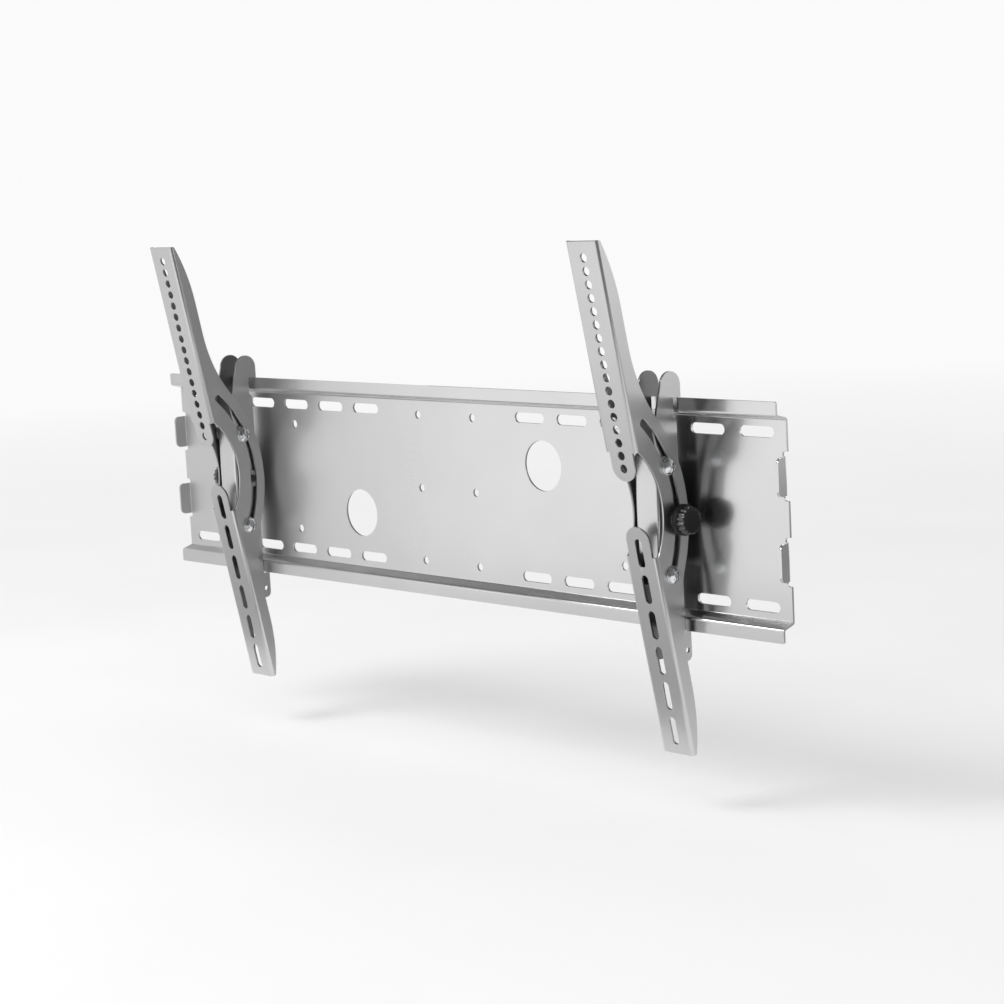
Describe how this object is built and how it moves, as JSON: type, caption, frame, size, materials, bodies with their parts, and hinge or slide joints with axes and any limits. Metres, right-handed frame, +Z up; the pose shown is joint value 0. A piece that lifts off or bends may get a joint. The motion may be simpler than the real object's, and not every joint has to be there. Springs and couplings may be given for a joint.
{
  "type": "tilting television wall bracket",
  "caption": "Wide slotted steel wall plate with hanging rails and a pair of tilting channel arms that slide along it and clamp with knobs, for a flat screen.",
  "frame": {"origin": "centre of the wall plate's back face, on the wall", "axes": "+X to the right as seen from the room, +Y into the wall, +Z up"},
  "size_m": [0.926, 0.1197, 0.5004],
  "materials": {
    "plate_finish": "satin silver powder coat",
    "bracket_finish": "satin silver powder coat",
    "arm_finish": "satin silver powder coat",
    "bright_zinc": "bright zinc plate",
    "dark_steel": "black oxide",
    "slide_plastic": "grey moulded nylon",
    "knob_plastic": "fine moulded texture"
  },
  "bodies": {
    "wall_plate": {"wall_plate": "plate_finish"},
    "left_carriage": {"left_hook_bracket": "bracket_finish", "left_slide_washers": "slide_plastic", "left_flat_washers": "bright_zinc", "left_knob_nut": "bright_zinc", "left_upper_guide_screw": "bright_zinc", "left_upper_lock_nut": "bright_zinc", "left_upper_spacer": "bright_zinc", "left_lower_guide_screw": "bright_zinc", "left_lower_lock_nut": "bright_zinc", "left_lower_spacer": "bright_zinc"},
    "left_arm": {"left_tilt_arm": "arm_finish"},
    "left_knob": {"left_knob": "knob_plastic", "left_knob_stud": "dark_steel", "left_knob_washer": "bright_zinc"},
    "right_carriage": {"right_hook_bracket": "bracket_finish", "right_slide_washers": "slide_plastic", "right_flat_washers": "bright_zinc", "right_knob_nut": "bright_zinc", "right_upper_guide_screw": "bright_zinc", "right_upper_lock_nut": "bright_zinc", "right_upper_spacer": "bright_zinc", "right_lower_guide_screw": "bright_zinc", "right_lower_lock_nut": "bright_zinc", "right_lower_spacer": "bright_zinc"},
    "right_arm": {"right_tilt_arm": "arm_finish"},
    "right_knob": {"right_knob": "knob_plastic", "right_knob_stud": "dark_steel", "right_knob_washer": "bright_zinc"}
  },
  "joints": [
    {"name": "left_slide", "type": "slide", "parent": "wall_plate", "child": "left_carriage", "axis": [1, 0, 0], "range_m": [-0.116, 0.215]},
    {"name": "left_tilt", "type": "hinge", "parent": "left_carriage", "child": "left_arm", "pos_m": [-0.3227, -0.156, -0.0025], "axis": [1, 0, 0], "range_deg": [-20, 0]},
    {"name": "left_knob_turn", "type": "hinge", "parent": "left_carriage", "child": "left_knob", "pos_m": [-0.3227, -0.026, -0.0025], "axis": [-1, 0, 0], "range_deg": [0, 720]},
    {"name": "right_slide", "type": "slide", "parent": "wall_plate", "child": "right_carriage", "axis": [1, 0, 0], "range_m": [-0.215, 0.112]},
    {"name": "right_tilt", "type": "hinge", "parent": "right_carriage", "child": "right_arm", "pos_m": [0.3266, -0.156, -0.0025], "axis": [1, 0, 0], "range_deg": [-20, 0]},
    {"name": "right_knob_turn", "type": "hinge", "parent": "right_carriage", "child": "right_knob", "pos_m": [0.3266, -0.026, -0.0025], "axis": [1, 0, 0], "range_deg": [0, 720]}
  ]
}
